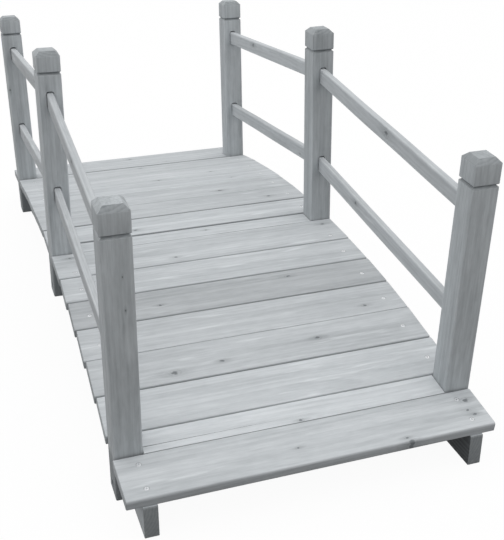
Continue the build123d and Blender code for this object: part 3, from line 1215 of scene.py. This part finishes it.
def zinc_material():
    """Material of the screw heads."""
    material = bpy.data.materials.new("screw_zinc")
    material.use_nodes = True
    tree = material.node_tree
    shader = tree.nodes["Principled BSDF"]
    shader.inputs["Metallic"].default_value = ZINC_SHARE
    place = put(tree, "ShaderNodeTexCoord").outputs["Object"]
    dust = grain_noise(tree, place, DUST_WAVES, 3.0)
    colour = mix(tree, smooth(tree, dust, *DUST_RAMP), BRIGHT_ZINC, DULL_ZINC)
    tree.links.new(colour, shader.inputs["Base Color"])
    rough = maths(tree, "ADD", ZINC_ROUGHNESS, maths(tree, "MULTIPLY", dust, DUST_ROUGHNESS))
    tree.links.new(rough, shader.inputs["Roughness"])
    return material


zinc = zinc_material()
print("made", zinc.name)

# %% [markdown]
# ## Put the bridge together
# Every piece rides on the CAD model's one body, stands for its CAD timber, which is hidden, and gets
# its finish. The screws have no CAD timber of their own.

# %% Ride, replace and name the finishes
def finish_of(node_name):
    """The finish of a timber, by its kind."""
    for kind, finish in (("rail", "rail_wood"), ("stringer", "stringer_wood"), ("post", "post_wood")):
        if kind in node_name:
            return finish
    return "deck_wood"


for node_name, piece in pieces.items():
    finish = finish_of(node_name)
    piece.data.materials.clear()
    piece.data.materials.append(finishes[finish])
    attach(piece, "root")
    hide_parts(node_name)
for screws in (deck_screws, lap_screws):
    screws.data.materials.append(zinc)
    screws.data.shade_smooth()
    screws.data.set_sharp_from_angle(angle=SMOOTH_ANGLE)
    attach(screws, "root")
print("pieces on the body:", len(pieces) + 2)

# %% [markdown]
# ## Floor
# The bridge stands on a pale floor. It looks white to the camera, but it throws back less light than white
# would, or the shaded sides would be too pale. To the camera it is part plain white and part diffuse, so
# the bridge still leaves a soft shadow on it.

# %% Make the floor
FLOOR_REACH = 8.0
FLOOR_BOUNCE = 0.15
FLOOR_SHADOW = 0.05


def seen_directly(tree):
    """1 for rays from the camera, from mirrors and through glass, else 0."""
    path = put(tree, "ShaderNodeLightPath").outputs
    seen = maths(tree, "MAXIMUM", path["Is Camera Ray"], path["Is Glossy Ray"])
    return maths(tree, "MAXIMUM", seen, path["Is Transmission Ray"])


def floor_material():
    """Material that is white to the camera and grey to all other light."""
    material = bpy.data.materials.new("studio_floor")
    material.use_nodes = True
    tree = material.node_tree
    tree.nodes.clear()
    bounce = put(tree, "ShaderNodeBsdfDiffuse", {"Color": (FLOOR_BOUNCE, FLOOR_BOUNCE, FLOOR_BOUNCE, 1)})
    shaded = put(tree, "ShaderNodeBsdfDiffuse", {"Color": (1, 1, 1, 1)})
    white = put(tree, "ShaderNodeEmission", {"Color": (1, 1, 1, 1), "Strength": 1.0})
    seen = put(tree, "ShaderNodeMixShader", {0: FLOOR_SHADOW, 1: white.outputs[0], 2: shaded.outputs[0]})
    ways = {0: seen_directly(tree), 1: bounce.outputs[0], 2: seen.outputs[0]}
    both = put(tree, "ShaderNodeMixShader", ways)
    put(tree, "ShaderNodeOutputMaterial", {"Surface": both.outputs[0]})
    return material


def make_floor():
    """Staged floor, level with the bridge's feet."""
    shape = bmesh.new()
    bmesh.ops.create_grid(shape, x_segments=8, y_segments=8, size=FLOOR_REACH)
    mesh = bpy.data.meshes.new("floor")
    shape.to_mesh(mesh)
    shape.free()
    floor = show("floor", mesh)
    mesh.materials.append(floor_material())


make_floor()
print("floor reaches", FLOOR_REACH, "m each way")

# %% [markdown]
# ## Light
# The bridge is in a bright studio. The surroundings are bright overhead and dim near the floor, so tops are
# bright, uprights about half as bright, and the space under the deck is dark. A single strong lamp would be
# simpler, but its shadows would be hard, so two weak panels, overhead and on the left, shape this a little.

# %% Surroundings
SKY_LOW = 0.25
SKY_HIGH = 0.97
SKY_RAMP = (0.1, 0.5)


def make_surroundings():
    """World that lights more from above than from the sides, and is white to the camera."""
    world = bpy.data.worlds.new("studio")
    world.use_nodes = True
    bpy.context.scene.world = world
    tree = world.node_tree
    tree.nodes.clear()
    direction = put(tree, "ShaderNodeTexCoord").outputs["Generated"]
    level = put(tree, "ShaderNodeSeparateXYZ", {0: direction}).outputs["Z"]
    rise = maths(tree, "MULTIPLY", smooth(tree, level, *SKY_RAMP), SKY_HIGH - SKY_LOW)
    sky = maths(tree, "ADD", SKY_LOW, rise)
    soft = put(tree, "ShaderNodeBackground", {"Color": (1, 1, 1, 1), "Strength": sky})
    white = put(tree, "ShaderNodeBackground", {"Color": (1, 1, 1, 1), "Strength": 1.0})
    ways = {0: seen_directly(tree), 1: soft.outputs[0], 2: white.outputs[0]}
    both = put(tree, "ShaderNodeMixShader", ways)
    put(tree, "ShaderNodeOutputWorld", {"Surface": both.outputs[0]})


make_surroundings()
print("surroundings", SKY_LOW, "below and", SKY_HIGH, "overhead")

# %% Light panels
PANELS = {
    "overhead_panel": {"place": (0, 0, 4), "aim": (0, 0, 0), "width": 4, "power": 14},
    "left_panel": {"place": (-2.6, 2.2, 1.0), "aim": (0, 0.2, 0.3), "width": 2, "power": 10.5},
}


def make_panel(panel_name, place, aim, width, power):
    """Square soft light panel that looks at a point."""
    light = bpy.data.lights.new(panel_name, "AREA")
    light.shape = "SQUARE"
    light.size = width
    light.energy = power
    lamp = show(panel_name, light)
    lamp.location = place
    lamp.rotation_euler = (Vector(aim) - Vector(place)).to_track_quat("-Z", "Y").to_euler()


for panel_name, values in PANELS.items():
    make_panel(panel_name, **values)
    print(panel_name, values["power"], "W")

# %% [markdown]
# ## Camera
# The camera stands where the photograph was taken from: before the near end, a little to the left, and
# about a metre above the floor. Its place, turn and focal length were fitted to the bridge's corners.

# %% Camera
PHOTO_LONG_SIDE = 540
CAMERA_PLACE = (-0.47837, -1.78076, 0.97256)
CAMERA_TURN = (63.603, -0.049, -18.808)
FOCAL_PIXELS = 960.6
SENSOR = 36.0
camera_data = bpy.data.cameras.new("camera")
camera_data.sensor_width = SENSOR
camera_data.lens = FOCAL_PIXELS * SENSOR / PHOTO_LONG_SIDE
camera = show("camera", camera_data)
camera.location = CAMERA_PLACE
camera.rotation_euler = [math.radians(angle) for angle in CAMERA_TURN]
bpy.context.scene.camera = camera
bpy.context.scene.view_settings.view_transform = "Standard"
print("lens", round(camera_data.lens, 2), "mm")
